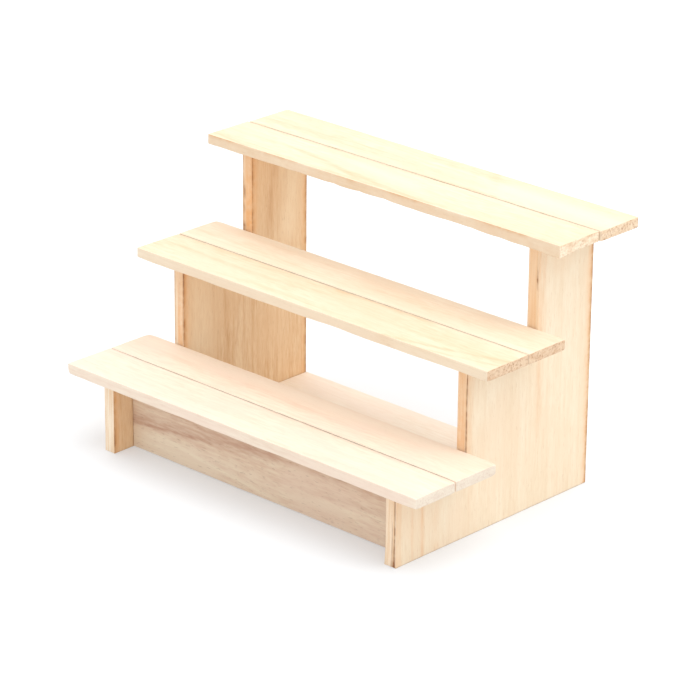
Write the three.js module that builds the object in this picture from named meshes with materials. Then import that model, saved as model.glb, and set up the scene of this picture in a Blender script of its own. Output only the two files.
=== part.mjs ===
// A three-tier stepped rack for paint pots, glued up from thin unfinished wood.
// Two stair-shaped plywood sides carry three shelves of two slats each. Two boards
// tie the sides together: one on edge under the lowest shelf, and one flat on the
// table at the back. Nothing on it moves, and it has no fasteners.
//
// Millimetres, +Z up. X runs along the shelves, and the front faces -Y. The origin
// is on the table, at the middle of the footprint of the whole rack.

import * as THREE from "three";

// Driving dimensions.
const SIDE_SPAN = 140.6; // over the outer faces of the two sides
const SIDE_THICKNESS = 4.8;
const STEP_RUN = 34.8; // depth of the two lower steps of a side
const TOP_STEP_RUN = 28.7;
const FIRST_RISE = 27.4; // height of the lowest step of a side
const STEP_RISE = 34.5; // height of each step above it
const SLAT_THICKNESS = 3.9;
const TOP_SHELF_OVERHANG = 4.9; // how far the top shelf stands out over its step
const GLUE = 0.1; // film between two boards that are glued face to face
const BUTT_GAP = 0.3; // between a lower shelf and the riser behind it
const SEAM = 0.3; // between the two slats of a shelf
const ARRIS = 0.3; // width of the broken edges of a board

// The shelves as they were sawn and laid, from the lowest up. frontWidth is the
// width of the front slat at its left end and at its right end.
const SHELVES = [
  { name: "lower_shelf", length: 167, depth: 40, frontWidth: [20.6, 19.4], shift: 0.4, rearShift: 0 },
  { name: "middle_shelf", length: 166.6, depth: 40, frontWidth: [20.7, 20.7], shift: -0.2, rearShift: 0 },
  { name: "upper_shelf", length: 166, depth: 40.6, frontWidth: [20.4, 20.4], shift: 0, rearShift: 0.6 },
];

const CROSS_BOARD = { width: 27, thickness: 3 }; // stock of the two boards between the sides
const FRONT_BOARD_SETBACK = 9.1; // from the front edges of the sides

// What follows from them.
const sideDepth = 2 * STEP_RUN + TOP_STEP_RUN;
const stepFronts = [0, STEP_RUN, 2 * STEP_RUN];
const stepTops = [FIRST_RISE, FIRST_RISE + STEP_RISE, FIRST_RISE + 2 * STEP_RISE];
const crossBoardLength = SIDE_SPAN - 2 * SIDE_THICKNESS - 2 * GLUE;

// A lower shelf ends just short of the riser behind it. Nothing stops the top one.
function shelfFront(tier) {
  if (tier === SHELVES.length - 1) return stepFronts[tier] - TOP_SHELF_OVERHANG;
  return stepFronts[tier + 1] - BUTT_GAP - SHELVES[tier].depth;
}

const rackFront = shelfFront(0);
const rackBack = shelfFront(2) + SHELVES[2].depth;

const MATERIALS = {
  slat: new THREE.MeshStandardMaterial({ color: 0xf5e6c4, roughness: 0.62, metalness: 0 }),
  plywood: new THREE.MeshStandardMaterial({ color: 0xf1d8b0, roughness: 0.6, metalness: 0 }),
  crossBoard: new THREE.MeshStandardMaterial({ color: 0xe2c6a6, roughness: 0.68, metalness: 0 }),
};

// A board from the four corners of its plan, with its edges broken all round.
function board(name, material, corners, height) {
  const plan = new THREE.Shape(corners.map(([x, y]) => new THREE.Vector2(x, y)));
  const geometry = new THREE.ExtrudeGeometry(plan, {
    depth: height - 2 * ARRIS,
    bevelThickness: ARRIS,
    bevelSize: ARRIS,
    bevelOffset: -ARRIS,
    bevelSegments: 2,
  });
  const mesh = new THREE.Mesh(geometry.translate(0, 0, ARRIS), material);
  mesh.name = name;
  return mesh;
}

// The corners of a board whose ends are at x = -length / 2 and length / 2. Its front
// and back edges are given at its left end and at its right end.
function planCorners(length, front, back) {
  const end = length / 2;
  return [
    [-end, front[0]],
    [end, front[1]],
    [end, back[1]],
    [-end, back[0]],
  ];
}

// One side: a stair outline in Y and Z, cut from a sheet and stood on its long edge.
function side(name, outward) {
  const outline = new THREE.Shape();
  outline.moveTo(0, 0);
  outline.lineTo(sideDepth, 0);
  outline.lineTo(sideDepth, stepTops[2]);
  outline.lineTo(stepFronts[2], stepTops[2]);
  outline.lineTo(stepFronts[2], stepTops[1]);
  outline.lineTo(stepFronts[1], stepTops[1]);
  outline.lineTo(stepFronts[1], stepTops[0]);
  outline.lineTo(stepFronts[0], stepTops[0]);
  outline.closePath();

  const sheet = new THREE.ExtrudeGeometry(outline, {
    depth: SIDE_THICKNESS,
    bevelEnabled: false,
  });
  const standing = new THREE.Matrix4().makeBasis(
    new THREE.Vector3(0, 1, 0),
    new THREE.Vector3(0, 0, 1),
    new THREE.Vector3(1, 0, 0),
  );
  const mesh = new THREE.Mesh(sheet.applyMatrix4(standing), MATERIALS.plywood);
  mesh.name = name;
  mesh.position.x = outward > 0 ? SIDE_SPAN / 2 - SIDE_THICKNESS : -SIDE_SPAN / 2;
  return mesh;
}

// One shelf: a front slat and a rear slat, glued to the top edges of the two sides.
function shelf(tier) {
  const { name, length, depth, frontWidth, shift, rearShift } = SHELVES[tier];
  const rearStart = frontWidth.map((width) => width + SEAM);
  const front = board(
    `${name}_front_slat`,
    MATERIALS.slat,
    planCorners(length, [0, 0], frontWidth),
    SLAT_THICKNESS,
  );
  const rear = board(
    `${name}_rear_slat`,
    MATERIALS.slat,
    planCorners(length, rearStart, [depth, depth]),
    SLAT_THICKNESS,
  );
  rear.position.x = rearShift;

  const group = new THREE.Group();
  group.add(front, rear);
  group.position.set(shift, shelfFront(tier), stepTops[tier] + GLUE);
  return group;
}

// The board on edge between the sides. It fills the height under the lowest shelf.
function frontBoard() {
  const { width, thickness } = CROSS_BOARD;
  const plan = planCorners(crossBoardLength, [0, 0], [thickness, thickness]);
  const mesh = board("front_cross_board", MATERIALS.crossBoard, plan, width);
  mesh.position.set(0, FRONT_BOARD_SETBACK, FIRST_RISE - width);
  return mesh;
}

// The board that lies flat on the table, flush with the rear edges of the sides.
function baseBoard() {
  const { width, thickness } = CROSS_BOARD;
  const plan = planCorners(crossBoardLength, [0, 0], [width, width]);
  const mesh = board("base_cross_board", MATERIALS.crossBoard, plan, thickness);
  mesh.position.y = sideDepth - width;
  return mesh;
}

const rack = new THREE.Group();
rack.add(side("left_side", -1), side("right_side", 1));
SHELVES.forEach((_, tier) => rack.add(shelf(tier)));
rack.add(frontBoard(), baseBoard());
rack.position.y = -(rackFront + rackBack) / 2;

const part = new THREE.Group();
part.add(rack);

export default part;
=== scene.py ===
import math

import bpy
import numpy as np
from mathutils import Matrix, Vector, noise


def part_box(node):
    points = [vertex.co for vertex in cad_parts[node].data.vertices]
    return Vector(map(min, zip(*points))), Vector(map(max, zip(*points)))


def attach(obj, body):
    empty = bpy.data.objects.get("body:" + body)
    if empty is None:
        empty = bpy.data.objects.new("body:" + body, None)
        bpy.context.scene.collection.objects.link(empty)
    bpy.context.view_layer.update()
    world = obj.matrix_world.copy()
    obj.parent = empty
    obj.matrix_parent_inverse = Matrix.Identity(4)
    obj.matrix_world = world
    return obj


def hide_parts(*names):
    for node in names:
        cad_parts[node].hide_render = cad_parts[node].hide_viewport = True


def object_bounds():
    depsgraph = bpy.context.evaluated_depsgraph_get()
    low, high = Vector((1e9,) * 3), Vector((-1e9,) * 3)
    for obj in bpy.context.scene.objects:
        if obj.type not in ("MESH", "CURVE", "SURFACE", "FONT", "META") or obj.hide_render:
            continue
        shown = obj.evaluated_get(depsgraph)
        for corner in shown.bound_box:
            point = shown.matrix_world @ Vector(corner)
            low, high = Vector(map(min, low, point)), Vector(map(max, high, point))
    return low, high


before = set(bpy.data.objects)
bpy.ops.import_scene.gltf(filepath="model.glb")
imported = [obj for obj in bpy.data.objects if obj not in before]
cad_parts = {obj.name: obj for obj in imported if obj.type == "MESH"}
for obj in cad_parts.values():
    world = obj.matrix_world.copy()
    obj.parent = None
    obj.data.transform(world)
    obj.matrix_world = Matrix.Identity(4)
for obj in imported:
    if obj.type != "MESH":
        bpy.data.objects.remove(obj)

cad_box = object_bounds()

MM = 0.001
ROOT = "root"

# ---------------------------------------------------------------------------
# Boards: prisms on a fine grid, with worn edges, chips and a little relief
# ---------------------------------------------------------------------------

EDGE_STEPS = (0.12 * MM, 0.3 * MM, 0.55 * MM, 0.9 * MM)  # grid lines beside an edge
THINNEST_ROUNDING = 0.05 * MM
FULL_WEAR = 0.25 * MM  # how far a point has to be worn back to look fully worn
STREAK_FADE = 6 * MM  # how far a streak fades out beyond its ends
RELIEF = 0.05 * MM
ARRIS = 0.26 * MM  # mean radius of an edge
TOUCH = 1e-6  # metres; a point nearer to a face than this lies on it


def grid_lines(stops, spacing):
    """Positions through every stop, close together beside a stop and spacing apart between."""
    found = []
    for low, high in zip(stops, stops[1:]):
        room = high - low
        near = [step for step in EDGE_STEPS if step < 0.3 * room]
        first = low + (near[-1] if near else 0)
        last = high - (near[-1] if near else 0)
        count = max(1, math.ceil((last - first) / spacing))
        found += [low] + [low + step for step in near]
        found += list(np.linspace(first, last, count + 1)[1:-1])
        found += [high - step for step in reversed(near)]
    return np.array(found + [stops[-1]])


def rectangle(u_low, u_high, v_low, v_high):
    return [(u_low, v_low), (u_high, v_low), (u_high, v_high), (u_low, v_high)]


def inside_outline(outline, u, v):
    """Even-odd test of a point against an outline whose sides run along u and v."""
    odd = False
    for (u0, v0), (u1, v1) in zip(outline, outline[1:] + outline[:1]):
        if (v0 > v) != (v1 > v) and u < u0:
            odd = not odd
    return odd


def prism_faces(outline, us, vs, ws):
    """The grid points on the surface of the outline pushed along w, and its quads."""
    cells = {
        (i, j)
        for i in range(len(us) - 1)
        for j in range(len(vs) - 1)
        if inside_outline(outline, (us[i] + us[i + 1]) / 2, (vs[j] + vs[j + 1]) / 2)
    }
    top = len(ws) - 1
    index, faces = {}, []

    def quad(*corners):
        faces.append([index.setdefault(corner, len(index)) for corner in corners])

    for i, j in sorted(cells):
        quad((i, j, top), (i + 1, j, top), (i + 1, j + 1, top), (i, j + 1, top))
        quad((i, j, 0), (i, j + 1, 0), (i + 1, j + 1, 0), (i + 1, j, 0))
        for k in range(top):
            if (i, j - 1) not in cells:
                quad((i, j, k), (i + 1, j, k), (i + 1, j, k + 1), (i, j, k + 1))
            if (i + 1, j) not in cells:
                quad((i + 1, j, k), (i + 1, j + 1, k), (i + 1, j + 1, k + 1), (i + 1, j, k + 1))
            if (i, j + 1) not in cells:
                quad((i + 1, j + 1, k), (i, j + 1, k), (i, j + 1, k + 1), (i + 1, j + 1, k + 1))
            if (i - 1, j) not in cells:
                quad((i, j + 1, k), (i, j, k), (i, j, k + 1), (i, j + 1, k + 1))
    points = np.array([(us[i], vs[j], ws[k]) for i, j, k in index])
    return points, faces


def outline_distances(outline, points):
    """How far each point is from a side that faces along u, and from one along v, with
    the direction that side faces. A side counts only for the points beside it."""
    far = 1.0
    distance = np.full((len(points), 2), far)
    facing = np.zeros((len(points), 2))
    tiny = 0.1 * TOUCH
    corners = len(outline)
    for n in range(corners):
        before, start = outline[n - 1], outline[n]
        end, after = outline[(n + 1) % corners], outline[(n + 2) % corners]
        along = 0 if start[1] == end[1] else 1
        across = 1 - along
        sign = np.sign(end[along] - start[along])
        outward = -sign if along == 0 else sign
        reach = []
        for corner, other, way in ((start, before, -sign), (end, after, sign)):
            concave = (other[across] - corner[across]) * outward > 0
            reach.append(corner[along] + way * (-tiny if concave else tiny))
        low, high = min(reach), max(reach)
        beside = (points[:, along] > low) & (points[:, along] < high)
        depth = np.abs(points[:, across] - start[across])
        nearer = beside & (depth < distance[:, across])
        distance[nearer, across] = depth[nearer]
        facing[nearer, across] = outward
    return distance, facing


def round_edges(points, outline, w_low, w_high, radius):
    """Rolls the surface over every outer edge and corner, by each point's own radius."""
    distance, facing = outline_distances(outline, points)
    middle = (w_low + w_high) / 2
    depth = np.minimum(points[:, 2] - w_low, w_high - points[:, 2])
    over = np.column_stack([distance[:, 0], distance[:, 1], depth])
    way = np.column_stack([facing, np.where(points[:, 2] > middle, 1, -1)])
    into = np.clip(radius[:, None] - over, 0, None)
    length = np.linalg.norm(into, axis=1)
    scale = np.where(length > radius, radius / np.maximum(length, 1e-12), 1)
    moved = points - way * into * (1 - scale)[:, None]
    return moved, np.linalg.norm(moved - points, axis=1)


def smooth_noise(points, wavelength, seed):
    """Noise from -1 to 1 at each point. The wavelength is one number, or one for each axis."""
    scaled = points / wavelength + seed * 17.31
    return np.array([noise.noise(Vector(point)) for point in scaled])


def noise_along(axis, points, wavelength, seed):
    """Noise from -1 to 1 that changes along one axis only."""
    only = np.zeros(3)
    only[axis] = 1
    return smooth_noise(points * only, wavelength, seed)


def relief(points, grain, seed, depth):
    """How far each point lies below the flat of its face, up to twice depth: broad waves
    and fine ridges along the grain, the number of the axis that the grain follows."""
    broad = np.array([26 * MM] * 3)
    broad[grain] = 70 * MM
    fine = np.array([1.5 * MM] * 3)
    fine[grain] = 38 * MM
    wave = smooth_noise(points, broad, seed)
    ridge = smooth_noise(points, fine, seed + 3)
    return depth * (1 - 0.65 * wave - 0.35 * ridge)


def face_direction(points, outline, w_low, w_high):
    """The outward direction of the face, edge or corner that each grid point lies on."""
    distance, facing = outline_distances(outline, points)
    way = np.zeros_like(points)
    for axis in (0, 1):
        on_side = distance[:, axis] < TOUCH
        way[on_side, axis] = facing[on_side, axis]
    way[points[:, 2] < w_low + TOUCH, 2] = -1
    way[points[:, 2] > w_high - TOUCH, 2] = 1
    length = np.linalg.norm(way, axis=1)
    return way / np.maximum(length, 1)[:, None]


def store(mesh, name, values):
    """Keeps one number for each vertex, for the material to read."""
    attribute = mesh.attributes.new(name, "FLOAT", "POINT")
    attribute.data.foreach_set("value", values.astype(np.float32))


def figure_of(points, outline, streaks):
    """Strength at each point of streaks that run along a board. A streak is its two ends,
    as shares of the board in u and v, then its half width and its bow in millimetres, and
    its strength, which is negative where the board is drawn paler: paler wood on most
    boards, and painted light that offsets shade on a few."""
    low = np.array(outline).min(axis=0)
    size = np.array(outline).max(axis=0) - low
    total = np.zeros(len(points))
    for start, end, width, bow, strength in streaks:
        first, last = low + size * start, low + size * end
        length = np.linalg.norm(last - first)
        along_it = (last - first) / length
        offset = points[:, :2] - first
        travel = offset @ along_it
        share = np.clip(travel / length, 0, 1)
        bowed = bow * MM * 4 * share * (1 - share)
        aside = offset @ np.array([-along_it[1], along_it[0]]) - bowed
        beyond = travel - share * length
        away = (aside / (width * MM)) ** 2 + (beyond / STREAK_FADE) ** 2
        total += strength * np.exp(-away)
    return total


def make_board(name, outline, w_low, w_high, spacing, style, w_stops=(), place=None):
    """A board as a mesh object. The outline is in u and v, and w runs through it. place
    turns (u, v, w) into (x, y, z). style holds the seed and the grain axis, and may hold
    chips, figure, shape, and the brown and amber marks: stains, glue and seams, with some
    painted shade among the brown and some painted light among the paler figure."""
    us = grid_lines(sorted({u for u, _ in outline}), spacing[0])
    vs = grid_lines(sorted({v for _, v in outline}), spacing[1])
    ws = grid_lines([w_low, *w_stops, w_high], spacing[2])
    points, faces = prism_faces(outline, us, vs, ws)

    seed = style["seed"]
    radius = ARRIS * (1 + 0.55 * smooth_noise(points, 9 * MM, seed))
    radius *= 1 + 0.35 * smooth_noise(points, 2.2 * MM, seed + 1)
    for chip, size, spread in style.get("chips", ()):
        away = np.linalg.norm((points - np.array(chip)) / np.array(spread), axis=1)
        radius += size * np.exp(-(away**2))
    radius = np.clip(radius, THINNEST_ROUNDING, 0.45 * (w_high - w_low))

    direction = face_direction(points, outline, w_low, w_high)
    below = relief(points, style["grain"], seed, RELIEF)
    worn, moved = round_edges(points, outline, w_low, w_high, radius)
    worn -= direction * below[:, None]
    if "shape" in style:
        worn = style["shape"](points, worn, direction)
    if place:
        worn = place(worn)

    mesh = bpy.data.meshes.new(name)
    mesh.from_pydata(worn.tolist(), [], faces)
    store(mesh, "wear", np.clip(moved / FULL_WEAR, 0, 1))
    store(mesh, "figure", figure_of(points, outline, style.get("figure", ())))
    for mark in ("brown", "amber"):
        amount = style[mark](points, direction) if mark in style else np.zeros(len(points))
        store(mesh, mark, np.clip(amount, 0, 1))
    mesh.shade_smooth()
    piece = bpy.data.objects.new(name, mesh)
    bpy.context.scene.collection.objects.link(piece)
    return piece


def stand_for(piece, node, material):
    """The piece takes the place of a CAD node, and moves with it."""
    piece.data.materials.append(material)
    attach(piece, ROOT)
    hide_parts(node)


# ---------------------------------------------------------------------------
# Materials
# ---------------------------------------------------------------------------


def srgb(red, green, blue):
    """A colour given as it looks on a screen, 0 to 255, in the linear values of a shader."""
    def linear(value):
        value /= 255
        return value / 12.92 if value <= 0.04045 else ((value + 0.055) / 1.055) ** 2.4

    return (linear(red), linear(green), linear(blue), 1.0)


class Graph:
    """Short calls that add nodes to one material. An argument is a socket or a value."""

    def __init__(self, name):
        self.material = bpy.data.materials.new(name)
        self.material.use_nodes = True
        self.tree = self.material.node_tree
        self.shader = self.tree.nodes["Principled BSDF"]

    def feed(self, socket, value):
        if isinstance(value, bpy.types.NodeSocket):
            self.tree.links.new(value, socket)
        else:
            socket.default_value = value

    def add(self, kind, inputs, out=0, **settings):
        made = self.tree.nodes.new("ShaderNode" + kind)
        for key, value in settings.items():
            setattr(made, key, value)
        for key, value in inputs.items():
            self.feed(made.inputs[key], value)
        return made.outputs[out]

    def math(self, operation, first, second=0.0):
        return self.add("Math", {0: first, 1: second}, operation=operation)

    def smooth(self, value, low, high, to_low=0.0, to_high=1.0):
        """A smooth step: to_low where value is at or under low, to_high at or over high."""
        inputs = {"Value": value, "From Min": low, "From Max": high}
        inputs.update({"To Min": to_low, "To Max": to_high})
        return self.add("MapRange", inputs, interpolation_type="SMOOTHSTEP")

    def mix(self, factor, first, second, blend="MIX"):
        inputs = {0: factor, 6: first, 7: second}
        return self.add("Mix", inputs, out=2, data_type="RGBA", blend_type=blend)

    def stretch(self, coordinates, scale, offset=(0, 0, 0)):
        inputs = {"Vector": coordinates, "Scale": scale, "Location": offset}
        return self.add("Mapping", inputs)

    def noise(self, coordinates, scale, detail=2.0, roughness=0.5, distortion=0.0):
        inputs = {"Vector": coordinates, "Scale": scale, "Detail": detail}
        inputs.update({"Roughness": roughness, "Distortion": distortion})
        return self.add("TexNoise", inputs)


def along(axis, length, across=1.0):
    """Scale factors that stretch a pattern by 1 / length along one axis."""
    factors = [across] * 3
    factors[axis] = length
    return tuple(factors)


def long_grain(graph, place, look):
    """Colour and height of wood seen along its fibres."""
    grain = look["grain"]
    bend = graph.noise(graph.stretch(place, along(grain, 0.3)), 45, detail=2)
    shift = graph.math("MULTIPLY", graph.math("SUBTRACT", bend, 0.5), look["flow"] * MM)
    push = graph.add("CombineXYZ", {axis: shift for axis in range(3) if axis != grain})
    flowing = graph.add("VectorMath", {0: place, 1: push}, operation="ADD")

    streak = graph.noise(graph.stretch(flowing, along(grain, 0.07)), 130, detail=2)
    line = graph.noise(graph.stretch(flowing, along(grain, 0.035)), 640, detail=3, roughness=0.6)
    short = graph.noise(graph.stretch(flowing, along(grain, 0.16)), 1050, detail=2)
    fibre = graph.noise(graph.stretch(flowing, along(grain, 0.08)), 3100, detail=2)
    dash = graph.noise(graph.stretch(flowing, along(grain, 0.16)), 2400, detail=1)
    cloud = graph.noise(graph.stretch(place, along(grain, 0.6)), 60, detail=2)

    tone = graph.smooth(streak, 0.36, 0.66, 0.0, look["streaks"])
    for value, low, high, strength in (
        (line, 0.38, 0.7, "lines"),
        (short, 0.36, 0.68, "flecks"),
        (fibre, 0.3, 0.72, "fibres"),
    ):
        tone = graph.math("ADD", tone, graph.smooth(value, low, high, 0.0, look[strength]))
    colour = graph.mix(tone, look["light"], look["dark"])
    warmth = graph.smooth(cloud, 0.4, 0.64, 0.0, look["clouds"])
    colour = graph.mix(warmth, colour, look["warm"])

    figure = graph.add("Attribute", {}, out="Fac", attribute_name="figure")
    broken = graph.math("MULTIPLY", figure, graph.smooth(short, 0.3, 0.7, 0.7, 1.2))
    colour = graph.mix(graph.math("MAXIMUM", broken, 0.0), colour, look["figure"])
    # negative figure draws the wood paler; on some boards this is painted light that offsets shade
    paler = graph.math("MAXIMUM", graph.math("MULTIPLY", broken, -1.0), 0.0)
    colour = graph.mix(paler, colour, look["light"])

    pore = graph.smooth(dash, 0.62, 0.74)
    pore_tone = graph.math("MULTIPLY", pore, look["pores"])
    colour = graph.mix(pore_tone, colour, look["pore"])

    height = graph.math("MULTIPLY", graph.math("ADD", fibre, line), 0.5)
    height = graph.math("SUBTRACT", height, graph.math("MULTIPLY", pore, 0.4))
    return colour, height


def end_grain(graph, place, look):
    """Colour and height of wood cut across its fibres: pores between faint rings."""
    cells = graph.add("TexVoronoi", {"Vector": place, "Scale": 1050.0, "Randomness": 1.0})
    grit = graph.noise(place, 1500, detail=3, roughness=0.65)
    patch = graph.noise(place, 420, detail=1)
    rings = graph.noise(graph.stretch(place, along(1, 0.3)), 620, detail=2)
    open_cell = graph.smooth(cells, 0.7, 0.1)
    crowded = graph.math("ADD", grit, graph.math("MULTIPLY", patch, 0.5))
    pore = graph.math("MULTIPLY", open_cell, graph.smooth(crowded, 0.58, 0.95))
    tone = graph.math("ADD", graph.smooth(rings, 0.4, 0.7, 0.0, 0.5),
                      graph.smooth(grit, 0.35, 0.7, 0.0, 0.5))
    colour = graph.mix(tone, look["end_light"], look["end_dark"])
    pore_tone = graph.math("MULTIPLY", pore, look["end_pores"])
    colour = graph.mix(pore_tone, colour, look["end_pore"])
    height = graph.math("SUBTRACT", grit, graph.math("MULTIPLY", pore_tone, 1.2))
    return colour, height


def facing_axis(graph, axis):
    """1 on faces square to an axis, 0 on faces along it."""
    normal = graph.add("NewGeometry", {}, out="Normal")
    part = graph.add("SeparateXYZ", {0: normal}, out=axis)
    return graph.smooth(graph.math("ABSOLUTE", part), 0.55, 0.85)


def finish_wood(graph, place, colour, height, look):
    """Edges a little paler where the fibres are broken, the brown and amber marks (stains, with
    some painted shade), then gloss and relief.
    """
    wear = graph.add("Attribute", {}, out="Fac", attribute_name="wear")
    edge_tone = graph.math("MULTIPLY", wear, look["edge"])
    colour = graph.mix(edge_tone, colour, look["edge_colour"])
    patchy = graph.smooth(graph.noise(place, 380, detail=2), 0.3, 0.65, 0.55, 1.1)
    for mark in ("amber", "brown"):
        amount = graph.add("Attribute", {}, out="Fac", attribute_name=mark)
        colour = graph.mix(graph.math("MULTIPLY", amount, patchy), colour, look[mark])
    graph.feed(graph.shader.inputs["Base Color"], colour)
    graph.feed(graph.shader.inputs["Roughness"], graph.smooth(height, 0.1, 0.9, 0.72, 0.52))
    graph.shader.inputs["Specular IOR Level"].default_value = 0.3
    bump = graph.add("Bump", {"Height": height, "Strength": 0.6, "Distance": 0.08 * MM})
    graph.feed(graph.shader.inputs["Normal"], bump)
    return graph.material


def start_wood(name, seed):
    """A new material, with the place on the object and a place that differs by board."""
    graph = Graph(name)
    position = graph.add("TexCoord", {}, out="Object")
    offset = (seed * 0.37, seed * 0.113, seed * 0.071)
    return graph, position, graph.stretch(position, (1, 1, 1), offset)


def board_material(name, seed, look):
    graph, _, place = start_wood(name, seed)
    colour, height = long_grain(graph, place, look)
    end_colour, end_height = end_grain(graph, place, look)
    end = facing_axis(graph, look["grain"])
    colour = graph.mix(end, colour, end_colour)
    height = graph.mix(end, height, end_height)
    return finish_wood(graph, place, colour, height, look)


# Each look lists the colours of one wood and how strongly each figure shows in it. grain is
# the axis of the fibres, and flow is how far they wander, in millimetres.
SLAT_LOOK = {
    "grain": 0,
    "flow": 4.0,
    "light": srgb(234, 217, 193),
    "dark": srgb(221, 193, 158),
    "warm": srgb(230, 205, 178),
    "figure": srgb(212, 178, 138),
    "pore": srgb(180, 136, 102),
    "streaks": 0.3,
    "lines": 0.3,
    "flecks": 0.3,
    "fibres": 0.15,
    "clouds": 0.45,
    "pores": 0.1,
    "end_light": srgb(232, 210, 182),
    "end_dark": srgb(212, 178, 142),
    "end_pore": srgb(152, 98, 64),
    "end_pores": 0.7,
    "edge": 0.3,
    "edge_colour": srgb(244, 228, 206),
    "amber": srgb(232, 172, 112),
    "brown": srgb(130, 134, 116),
}
SPECKLED_SLAT_LOOK = {
    **SLAT_LOOK,
    "end_light": srgb(222, 196, 166),
    "end_dark": srgb(204, 166, 132),
}
PALE_SLAT_LOOK = {
    **SLAT_LOOK,
    "light": srgb(237, 222, 203),
    "dark": srgb(224, 200, 178),
    "warm": srgb(233, 208, 191),
    "figure": srgb(208, 174, 148),
    "streaks": 0.2,
    "pores": 0.07,
    "end_light": srgb(225, 212, 194),
    "end_dark": srgb(215, 196, 178),
    "end_pores": 0.15,
    "edge_colour": srgb(244, 232, 216),
}
BASE_LOOK = {
    **PALE_SLAT_LOOK,
    "light": srgb(247, 238, 224),
    "dark": srgb(237, 220, 200),
    "warm": srgb(244, 226, 212),
}
CROSS_LOOK = {
    **SLAT_LOOK,
    "light": srgb(230, 212, 186),
    "dark": srgb(212, 180, 154),
    "warm": srgb(220, 191, 169),
    "figure": srgb(190, 150, 126),
    "pore": srgb(150, 112, 92),
    "flecks": 0.4,
    "pores": 0.3,
}
SIDE_LOOK = {
    **SLAT_LOOK,
    "grain": 2,
    "flow": 3.0,
    "light": srgb(238, 222, 197),
    "dark": srgb(226, 200, 166),
    "warm": srgb(234, 208, 178),
    "figure": srgb(226, 182, 138),
    "pore": srgb(182, 132, 92),
    "lines": 0.25,
    "flecks": 0.2,
    "clouds": 0.5,
    "pores": 0.15,
    "brown": srgb(146, 94, 54),
    "core_light": srgb(242, 218, 190),
    "core_dark": srgb(226, 188, 146),
    "core_high": srgb(234, 193, 149),
    "inner_amber": 0.35,
    "inner_width": 1.2,
    "inner_line": 0.1,
}
# The left side turns a browner veneer inwards, with coarser fibres.
LEFT_SIDE_LOOK = {
    **SIDE_LOOK,
    "light": srgb(243, 215, 178),
    "dark": srgb(222, 180, 134),
    "warm": srgb(232, 194, 151),
    "figure": srgb(204, 152, 104),
    "core_light": srgb(244, 226, 202),
    "core_high": srgb(234, 188, 140),
    "pore": srgb(168, 116, 74),
    "streaks": 0.15,
    "lines": 0.5,
    "flecks": 0.15,
    "fibres": 0.5,
    "pores": 0.15,
    "inner_line": 0.55,
    "inner_amber": 0.8,
    "inner_width": 2.2,
}


# ---------------------------------------------------------------------------
# The slats of the three shelves
# ---------------------------------------------------------------------------

SLAT_SPACING = (2.4 * MM, 0.45 * MM, 0.7 * MM)
SEAM_DARKNESS = 0.27  # how much darker the seam between two slats is drawn, inside the gap and along its top
SEAM_WIDTH = 0.7 * MM  # how far that darkening reaches over the top
SEAM_FADE = 4 * MM  # how near the ends of a slat it fades
HOLLOW_DEPTH = 0.45 * MM  # shallow hollows sawn under a front edge
HOLLOW_LENGTH = 16 * MM
NOTCH_LENGTH = 6 * MM  # shorter notches in the same edge
FRONT_LINE_WIDTH = 0.4 * MM  # the stain along the upper side of a front edge
FRONT_LINE_PATCH = 14 * MM  # length over which it comes and goes


def slat_ends(node):
    """Where the front and back edges of a slat lie at its left and at its right end, read
    from its CAD corners."""
    corners = [vertex.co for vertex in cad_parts[node].data.vertices]
    low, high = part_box(node)
    ends = []
    for x in (low.x, high.x):
        ys = [corner.y for corner in corners if abs(corner.x - x) < 1 * MM]
        ends.append((min(ys), max(ys)))
    return ends


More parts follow.
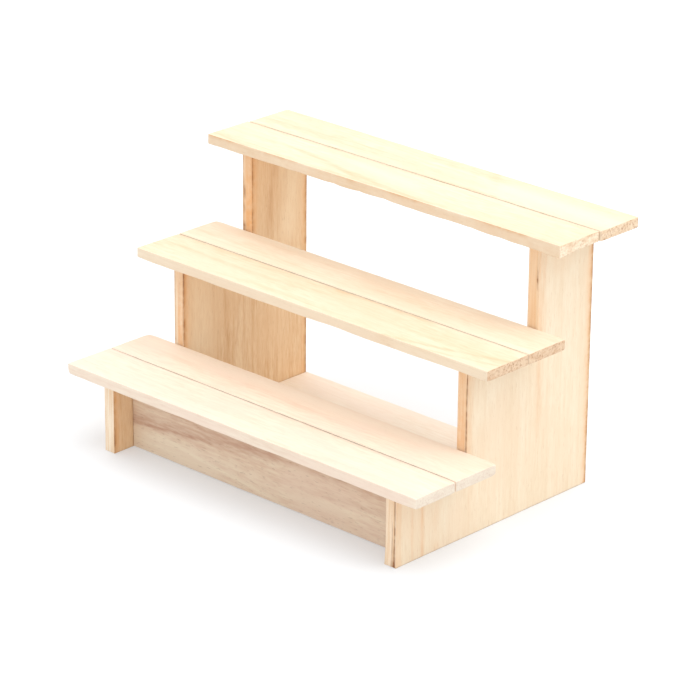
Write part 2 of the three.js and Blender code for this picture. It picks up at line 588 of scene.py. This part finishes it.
def make_slat(
    node, seed, look, seam, chips=(), swell=0.0, ragged=0.0, front_line=0.0, figure=()
):
    """A slat between its CAD corners, so that a tapered one tapers. seam is -1 or 1 for the
    long side, front or back, that meets the other slat. A chip is a corner, as the share
    of the way along x, y and z, then its size and how far it spreads. swell is how much
    thicker the front edge gets towards the right end, ragged how deep the notches in its
    lower side are, and front_line how strong the stain along its upper side is."""
    low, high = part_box(node)
    size = high - low
    (left_front, left_back), (right_front, right_back) = slat_ends(node)
    swell_length = 0.3 * size.x

    def place(points):
        x, y, z = points.T
        share = (x - low.x) / size.x
        front = left_front + (right_front - left_front) * share
        back = left_back + (right_back - left_back) * share
        towards_back = (y - low.y) / size.y
        near_end = np.clip((x - high.x + swell_length) / swell_length, 0, 1) ** 2
        hollow = noise_along(0, points, HOLLOW_LENGTH, seed + 9)
        notch = noise_along(0, points, NOTCH_LENGTH, seed + 11)
        lift = HOLLOW_DEPTH * np.clip(hollow, 0, 1) + ragged * np.clip(notch, 0, 1)
        drop = swell * near_end - lift
        drop *= np.clip(1 - 2 * towards_back, 0, 1) * (high.z - z) / size.z
        return np.column_stack([x, front + (back - front) * towards_back, z - drop])

    def darkening(points, direction):
        edge = high.y if seam > 0 else low.y
        inside = direction[:, 1] * seam > 0.5
        beside = np.exp(-(((points[:, 1] - edge) / SEAM_WIDTH) ** 2)) * (direction[:, 2] > 0.5)
        from_end = np.minimum(points[:, 0] - low.x, high.x - points[:, 0])
        away_from_end = 1 - np.exp(-from_end / SEAM_FADE)
        # The seam is drawn darker inside the gap and on the top beside it, fading near the ends.
        seam_tone = SEAM_DARKNESS * (1.2 * inside * away_from_end + 0.6 * beside)
        return seam_tone + 0.3 * line(points, direction)

    def line(points, direction):
        uneven = 0.5 + 1.6 * noise_along(0, points, FRONT_LINE_PATCH, seed + 7)
        uneven = np.clip(uneven, 0, 1)
        width = FRONT_LINE_WIDTH * (0.6 + 1.2 * uneven)
        under_edge = np.exp(-(((high.z - points[:, 2]) / width) ** 2))
        return front_line * (uneven * under_edge + 0.25) * (direction[:, 1] < -0.5)

    style = {"seed": seed, "grain": 0, "figure": figure, "brown": darkening, "amber": line}
    style["chips"] = [
        (low + Vector(a * b for a, b in zip(size, corner)), depth * MM, [s * MM for s in spread])
        for corner, depth, spread in chips
    ]
    outline = rectangle(low.x, high.x, low.y, high.y)
    piece = make_board(node + "_board", outline, low.z, high.z, SLAT_SPACING, style, place=place)
    stand_for(piece, node, board_material(node + "_wood", seed, look))


LEFT_FRONT_FOOT = (0, 0, 0)
RIGHT_BACK = (1, 1, 0.5)
RIGHT_FRONT = (1, 0, 0.5)
LEFT_BACK = (0, 1, 0.5)
ROUND = (1.6, 1.6, 9)  # spread of a corner that is worn over its whole height

make_slat(
    "lower_shelf_front_slat", 1, PALE_SLAT_LOOK, 1,
    chips=[
        (LEFT_FRONT_FOOT, 0.8, (1.1, 1.2, 1.4)),
        (RIGHT_BACK, 0.4, ROUND),
        (RIGHT_FRONT, 0.3, ROUND),
    ],
    figure=[((0.5, 0.97), (1, 0.93), 0.7, 0, 0.25)],
)
make_slat(
    "lower_shelf_rear_slat", 2,
    {**PALE_SLAT_LOOK, "light": srgb(240, 222, 202), "dark": srgb(228, 198, 174)}, -1,
    chips=[(LEFT_BACK, 0.9, ROUND), (RIGHT_BACK, 0.7, ROUND), (RIGHT_FRONT, 0.4, ROUND)],
    # The second streak is painted light: paler along the back edge, against the shade of the
    # middle shelf above.
    figure=[((0.3, 0.5), (0.7, 0.45), 1.6, 0, 0.12), ((0.05, 0.9), (0.95, 0.9), 5.5, 0, -0.9)],
)
make_slat(
    "middle_shelf_front_slat", 3, SPECKLED_SLAT_LOOK, 1,
    chips=[(RIGHT_FRONT, 0.2, ROUND), (LEFT_BACK, 0.3, ROUND)],
    figure=[
        ((0.72, 0.0), (1.02, 0.62), 0.9, -0.9, 0.5),
        ((0.82, 0.0), (1.02, 0.36), 0.7, -0.6, 0.35),
        ((0.06, 0.6), (0.4, 0.56), 1.2, -0.8, 0.3),
        ((0.14, 0.86), (0.5, 0.9), 2.0, 0.4, 0.3),
        ((0.5, 0.96), (0.72, 0.94), 1.2, 0, 0.4),
        ((0.0, 0.0), (1, 0.0), 0.4, 0, -0.45),
    ],
)
make_slat(
    "middle_shelf_rear_slat", 4,
    {**SPECKLED_SLAT_LOOK, "light": srgb(237, 221, 199), "dark": srgb(227, 200, 170)}, -1,
    chips=[(RIGHT_BACK, 0.4, ROUND), (LEFT_BACK, 0.5, ROUND)],
    figure=[
        ((0.08, 0.92), (0.98, 0.84), 1.2, 0.8, 0.2),
        ((0, 0.4), (0.35, 0.3), 0.7, 0.5, 0.2),
        ((0.55, 0.4), (0.9, 0.5), 0.8, -0.8, 0.2),
        ((0.0, 0.1), (1, 0.08), 2.0, 0, -0.35),
        # painted light: paler along the back edge, against the shade of the upper shelf above
        ((0.05, 0.98), (0.95, 0.98), 3.0, 0, -0.7),
    ],
)
make_slat(
    "upper_shelf_front_slat", 5,
    {**SLAT_LOOK, "end_pores": 0.3, "end_light": srgb(242, 224, 198)}, 1,
    chips=[
        ((1, 0.45, 0), 0.5, (1, 1.5, 1)), (RIGHT_FRONT, 0.2, ROUND),
        ((0.21, 0, 0), 0.4, (2.5, 1, 1)), ((0.3, 0, 1), 0.3, (4, 1, 1)),
    ],
    swell=0.8 * MM,
    ragged=0.6 * MM,
    front_line=0.55,
    figure=[
        ((0.0, 0.0), (1, 0.0), 0.5, 0, -0.5),
        ((0.24, 0.46), (0.42, 0.14), 1.2, 1.2, 0.45),
        ((0.42, 0.22), (0.62, 0.04), 1.3, -0.6, 0.5),
        ((0.34, 0.04), (0.46, 0.02), 1.2, 0, 0.45),
        ((0.38, 0.66), (0.54, 0.5), 2.6, 0, -0.6),
        ((0.8, 0.02), (1, 0.02), 1.2, 0, 0.35),
        ((0.0, 0.16), (0.12, 0.02), 0.9, 0, 0.3),
    ],
)
make_slat(
    "upper_shelf_rear_slat", 6, SLAT_LOOK, -1, chips=[(RIGHT_FRONT, 0.4, ROUND)],
    figure=[
        ((0.7, 0.5), (1, 0.4), 6.0, 0, -0.8),
        ((0.62, 0.98), (0.71, 0.02), 0.8, 0.4, 0.25),
        ((0.5, 0.02), (0.75, 0.05), 0.8, 0, 0.3),
        ((0, 0.3), (0.2, 0.4), 2.0, 0, 0.2),
    ],
)

# ---------------------------------------------------------------------------
# The two plywood sides
# ---------------------------------------------------------------------------

SIDE_SPACING = (0.6 * MM, 2.4 * MM, 0.7 * MM)
VENEER = 0.75 * MM
CORE_DEPTH = 0.05 * MM  # how far the core stands back on a cut edge
GLUE_DEPTH = 0.12 * MM  # how far an open glue line stands back
GLUE_WANDER = 0.12 * MM  # how far a glue line strays to either side
GLUE_FOOT = 5 * MM  # how far up from each step a glue line is wider
SPLIT_HEIGHT = 12 * MM  # how far up the split at the foot of the right side reaches
SPLIT_REACH = 14 * MM  # how far back it reaches
BACK_BROWN_LINE = 1.0 * MM  # width of the brown line drawn along the back edge
FLOOR_CONTACT_SHADE = 0.3 * MM  # width of the painted contact shadow along the bottom edge
BACK_AMBER = 2.1 * MM  # width of the amber along the back edge
RISER_BROWN_LINE = 0.8 * MM  # width of the brown line drawn behind each riser, on the inner face
AMBER_HEIGHT = 60 * MM  # height at which the amber of a front edge would have faded out


def side_outline(node):
    """The stair outline in y and z, from the CAD node's own corners."""
    corners = [vertex.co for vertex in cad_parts[node].data.vertices]
    front, riser_2, riser_3, back = sorted({round(corner.y, 6) for corner in corners})
    floor, step_1, step_2, step_3 = sorted({round(corner.z, 6) for corner in corners})
    return [
        (front, floor),
        (back, floor),
        (back, step_3),
        (riser_3, step_3),
        (riser_3, step_2),
        (riser_2, step_2),
        (riser_2, step_1),
        (front, step_1),
    ]


def side_material(name, seed, look, outer_x, thickness):
    """Plywood: upright grain on its broad faces and plies on its cut edges, which are
    paler low down."""
    graph, position, place = start_wood(name, seed)
    colour, height = long_grain(graph, place, look)

    x, _, z = (graph.add("SeparateXYZ", {0: position}, out=axis) for axis in range(3))
    depth = graph.math("ABSOLUTE", graph.math("SUBTRACT", x, outer_x))
    in_core = graph.math("MULTIPLY", graph.smooth(depth, VENEER * 0.95, VENEER * 1.05),
                         graph.smooth(depth, thickness - VENEER * 0.95, thickness - VENEER * 1.05))
    core_grain = graph.noise(graph.stretch(place, (1, 1, 0.04)), 1500, detail=3)
    core_pores = graph.noise(place, 2600, detail=2)
    core_tone = graph.math("ADD", graph.smooth(core_grain, 0.35, 0.7, 0, 0.7),
                           graph.smooth(core_pores, 0.55, 0.7, 0, 0.35))
    core = graph.mix(core_tone, look["core_light"], look["core_dark"])
    higher_up = graph.smooth(z, 30 * MM, 80 * MM, 0, 0.5)
    core = graph.mix(higher_up, core, look["core_high"])
    edge = graph.mix(in_core, graph.mix(0.7, colour, core), core)

    cut = graph.math("SUBTRACT", 1.0, facing_axis(graph, 0))
    colour = graph.mix(cut, colour, edge)
    height = graph.mix(cut, height, core_grain)
    return finish_wood(graph, place, colour, height, {**look, "edge": 0.0})


def make_side(node, seed, look, outward, glue_lines, amber_core, split=0.0, figure=()):
    """A side between its CAD faces. Its core stands back a little from its veneers along
    every cut edge. A glue line is its depth from the outer face, the two heights between
    which it shows, its half width and its strength. amber_core is the depth from which the
    front edges are amber, then how much on each riser. Depths, heights and widths in these
    two are in millimetres. split opens the plies at the foot of the front edge."""
    low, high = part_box(node)
    outline = side_outline(node)
    thickness = high.x - low.x
    outer_x = high.x if outward > 0 else low.x
    feet = np.array(sorted({v for _, v in outline})[:3])  # floor, first and second step

    def above_foot(points):
        """Height of each point over the floor or the step its riser stands on."""
        z = points[:, 1]
        return z - feet[np.searchsorted(feet, z + 0.01 * MM) - 1]

    def behind_front(points):
        """How far each point is behind the riser in front of it."""
        distance, facing = outline_distances(outline, points)
        return np.where(facing[:, 0] < 0, distance[:, 0], 1)

    def glue(points, direction):
        on_front = direction[:, 0] < -0.5
        depth = np.abs(points[:, 2] - outer_x)
        wander = GLUE_WANDER * noise_along(1, points, 9 * MM, seed + 5)
        spread = 1 + 1.6 * np.exp(-above_foot(points) / GLUE_FOOT)
        total = np.zeros(len(points))
        for line, from_z, to_z, half_width, strength in glue_lines:
            z = points[:, 1] / MM
            shows = np.clip(z - from_z, 0, 1) * np.clip(to_z - z, 0, 1)
            away = (depth - line * MM - wander) / (half_width * MM * spread)
            total += strength * shows * np.exp(-(away**2))
        return total * on_front

    def brown(points, direction):
        broad = np.abs(direction[:, 2]) > 0.5
        from_back = high.y - points[:, 0]
        from_floor = points[:, 1] - low.z
        lines = 0.7 * np.exp(-((from_back / BACK_BROWN_LINE) ** 2))
        # painted contact shadow: a thin dark line along the bottom edge, where the side meets the
        # floor
        lines += 0.6 * np.exp(-((from_floor / FLOOR_CONTACT_SHADE) ** 2))
        inner = direction[:, 2] * outward < -0.5
        behind = behind_front(points) / RISER_BROWN_LINE
        uneven = 1 + noise_along(1, points, 11 * MM, seed + 7)
        lines += look["inner_line"] * inner * uneven * np.exp(-(behind**2))
        return lines * broad + glue(points, direction)

    def amber(points, direction):
        broad = np.abs(direction[:, 2]) > 0.5
        from_back = high.y - points[:, 0]
        strip = 0.75 * np.exp(-((from_back / BACK_AMBER) ** 2))
        behind = behind_front(points) / (look["inner_width"] * MM)
        strip += look["inner_amber"] * np.exp(-(behind**2))
        first_depth, *strengths = amber_core
        depth = np.abs(points[:, 2] - outer_x)
        on_core = (direction[:, 0] < -0.5) * np.clip((depth / MM - first_depth) / 0.5, 0, 1)
        strength = np.array(strengths)[np.searchsorted(feet, points[:, 1] + 0.01 * MM) - 1]
        return broad * strip + on_core * strength * (1 - above_foot(points) / AMBER_HEIGHT)

    def shape(points, worn, direction):
        depth = np.abs(points[:, 2] - outer_x)
        on_cut = np.abs(direction[:, 2]) < 0.1
        in_core = (depth > VENEER * 1.05) & (depth < thickness - VENEER * 1.05)
        open_line = np.clip(glue(points, direction), 0, 1)
        back = on_cut * (CORE_DEPTH * in_core + GLUE_DEPTH * open_line)
        worn = worn - direction * back[:, None]
        low_down = np.clip(1 - points[:, 1] / SPLIT_HEIGHT, 0, 1)
        near_front = np.clip(1 - (points[:, 0] - low.y) / SPLIT_REACH, 0, 1)
        opened = low_down**2 * near_front**2
        worn[:, 2] -= outward * split * opened * (depth > VENEER)
        return worn

    def place(points):
        return points[:, [2, 0, 1]]

    style = {"seed": seed, "grain": 1, "figure": figure}
    style.update({"shape": shape, "brown": brown, "amber": amber})
    ply_stops = sorted((low.x + VENEER, high.x - VENEER))
    name = node + "_panel"
    piece = make_board(name, outline, low.x, high.x, SIDE_SPACING, style, ply_stops, place)
    material = side_material(node + "_plywood", seed, look, outer_x, thickness)
    stand_for(piece, node, material)


left_low, left_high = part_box("left_side")
inner_glue = (left_high.x - left_low.x - VENEER) / MM
outer_glue = VENEER / MM
make_side(
    "left_side", 7, LEFT_SIDE_LOOK, -1,
    glue_lines=[
        (inner_glue + 0.55, 31, 62, 0.22, 0.8),
        (inner_glue - 1.6, 48, 62, 0.2, 0.3),
        (0.2, 31, 97, 0.45, 0.4),
        (1.0, 78, 84, 0.45, 0.7),
        (0.8, 73.5, 76, 0.4, 0.5),
        (0.9, 65, 69, 0.5, 0.6),
    ],
    amber_core=(1.4, 0.0, 0.6, 0.9),
    figure=[
        ((0.51, 0.34), (0.51, 0.62), 0.4, 0, 0.5),
        # painted light: a broad paler band on the inner face near the second riser, lifting the
        # shade that falls there
        ((0.44, 0.3), (0.44, 0.64), 9.0, 0, -0.9),
        ((0.58, 0.3), (0.57, 0.42), 0.5, 0.6, 0.5),
        ((0.63, 0.3), (0.64, 0.4), 0.4, -0.5, 0.4),
        ((0.9, 0.66), (0.93, 0.9), 4.5, 0, -0.9),
        ((0.8, 0.7), (0.84, 0.95), 1.4, 1.0, 0.3),
    ],
)
make_side(
    "right_side", 8, SIDE_LOOK, 1,
    glue_lines=[
        (outer_glue, -2, 62, 0.2, 1.0),
        (outer_glue, 80, 92, 0.1, 0.35),
        (outer_glue, 81, 86.5, 0.32, 1.0),
        (outer_glue + 0.9, -2, 16, 0.1, 0.5),
    ],
    amber_core=(0.9, 0.0, 0.5, 0.12),
    split=0.45 * MM,
    figure=[
        ((0.135, 0.0), (0.13, 0.24), 0.8, 0, 0.55),
        ((0.085, 0.0), (0.08, 0.2), 0.5, 0, 0.35),
        ((0.02, 0.0), (0.02, 0.27), 1.0, 0, 0.4),
        ((0.2, 0.02), (0.2, 0.2), 2.4, 0, 0.25),
        ((0.37, 0.1), (0.38, 0.6), 0.7, 0.4, 0.2),
        ((0.72, 0.3), (0.74, 0.9), 0.8, 0.5, 0.2),
        ((0.73, 0.4), (0.73, 0.96), 2.2, 0, 0.25),
    ],
)

# ---------------------------------------------------------------------------
# The two cross boards
# ---------------------------------------------------------------------------


def make_front_board(node, seed):
    low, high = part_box(node)
    outline = rectangle(low.z, high.z, low.x, high.x)

    def place(points):
        return points[:, [1, 2, 0]]

    style = {"seed": seed, "grain": 1}
    style["figure"] = [
        ((0.42, 0.0), (0.62, 0.5), 2.6, 0, 0.6),
        ((0.36, 0.0), (0.48, 0.28), 0.7, 0, 0.5),
        ((0.66, 0.1), (0.66, 1.0), 1.6, 0, 0.35),
        ((0.4, 0.75), (0.45, 1.0), 2.0, 0, 0.3),
        ((0.3, 0.1), (0.07, 0.5), 0.6, 0.4, -0.9),
        ((0.14, 0.02), (0.1, 0.3), 3.0, 0, -0.6),
        ((0.2, 0.62), (0.25, 0.8), 2.0, 0, -0.4),
    ]
    spacing = (0.6 * MM, 2.4 * MM, 0.8 * MM)
    piece = make_board(node + "_board", outline, low.y, high.y, spacing, style, place=place)
    stand_for(piece, node, board_material(node + "_wood", seed, CROSS_LOOK))


def make_base_board(node, seed):
    low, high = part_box(node)
    outline = rectangle(low.x, high.x, low.y, high.y)
    style = {"seed": seed, "grain": 0}
    piece = make_board(node + "_board", outline, low.z, high.z, SLAT_SPACING, style)
    stand_for(piece, node, board_material(node + "_wood", seed, BASE_LOOK))


make_front_board("front_cross_board", 9)
make_base_board("base_cross_board", 10)

# ---------------------------------------------------------------------------
# Floor, light and camera
# ---------------------------------------------------------------------------

FLOOR_REACH = 4.0  # metres from the middle to each side of the floor
FLOOR_DROP = 0.02 * MM  # keeps the floor clear of the undersides that stand on it
LAMP_COLOUR = (1, 0.99, 0.97)

low, high = (Vector(corner) for corner in cad_box)
middle = (low + high) / 2


def make_floor():
    """A white sweep with a weak glow of its own, so that shadows on it stay pale."""
    mesh = bpy.data.meshes.new("floor")
    square = rectangle(-FLOOR_REACH, FLOOR_REACH, -FLOOR_REACH, FLOOR_REACH)
    mesh.from_pydata([(x, y, 0) for x, y in square], [], [(0, 1, 2, 3)])
    floor = bpy.data.objects.new("floor", mesh)
    bpy.context.scene.collection.objects.link(floor)
    floor.location.z = -FLOOR_DROP
    graph = Graph("white_paper")
    graph.shader.inputs["Base Color"].default_value = (0.545, 0.555, 0.565, 1)
    graph.shader.inputs["Emission Color"].default_value = (0.97, 0.98, 1, 1)
    graph.shader.inputs["Emission Strength"].default_value = 0.33
    graph.shader.inputs["Roughness"].default_value = 0.9
    graph.shader.inputs["Specular IOR Level"].default_value = 0.1
    mesh.materials.append(graph.material)


def aim(thing, target):
    thing.rotation_euler = (target - thing.location).to_track_quat("-Z", "Y").to_euler()


def area_light(name, location, size, power):
    """A round lamp of slightly warm light, aimed at the middle of the rack."""
    data = bpy.data.lights.new(name, "AREA")
    data.shape = "DISK"
    data.size = size
    data.energy = power
    data.color = LAMP_COLOUR
    light = bpy.data.objects.new(name, data)
    bpy.context.scene.collection.objects.link(light)
    light.location = location
    aim(light, middle)


def make_light():
    """A white room, a wide soft light overhead and two weaker ones, right and left."""
    world = bpy.data.worlds.new("studio")
    bpy.context.scene.world = world
    world.use_nodes = True
    background = world.node_tree.nodes["Background"]
    background.inputs["Color"].default_value = (0.97, 0.985, 1, 1)
    background.inputs["Strength"].default_value = 1.05
    area_light("key", middle + Vector((0.3, -0.15, 2.1)), size=1.8, power=22.5)
    area_light("right", middle + Vector((1.3, 0.8, 1.45)), size=1.6, power=10)
    area_light("left", middle + Vector((-1.4, 0.3, 1.2)), size=1.6, power=3)


def make_camera():
    """The viewpoint: front right, a little above, far back with a long lens. Its angles,
    distance, lens and target were fitted to the corners of the boards in the photo."""
    azimuth, elevation, roll = (math.radians(angle) for angle in (43.1, 22.0, 0.52))
    distance = 1.24
    target = middle + Vector((4.0, -2.3, -4.3)) * MM
    back = Vector((
        math.sin(azimuth) * math.cos(elevation),
        -math.cos(azimuth) * math.cos(elevation),
        math.sin(elevation),
    ))
    data = bpy.data.cameras.new("camera")
    data.sensor_width = 36
    data.lens = 183.5
    camera = bpy.data.objects.new("camera", data)
    bpy.context.scene.collection.objects.link(camera)
    turn = back.to_track_quat("Z", "Y").to_matrix() @ Matrix.Rotation(roll, 3, "Z")
    camera.matrix_world = Matrix.Translation(target + back * distance) @ turn.to_4x4()
    bpy.context.scene.camera = camera


make_floor()
make_light()
make_camera()
bpy.context.scene.view_settings.view_transform = "Standard"
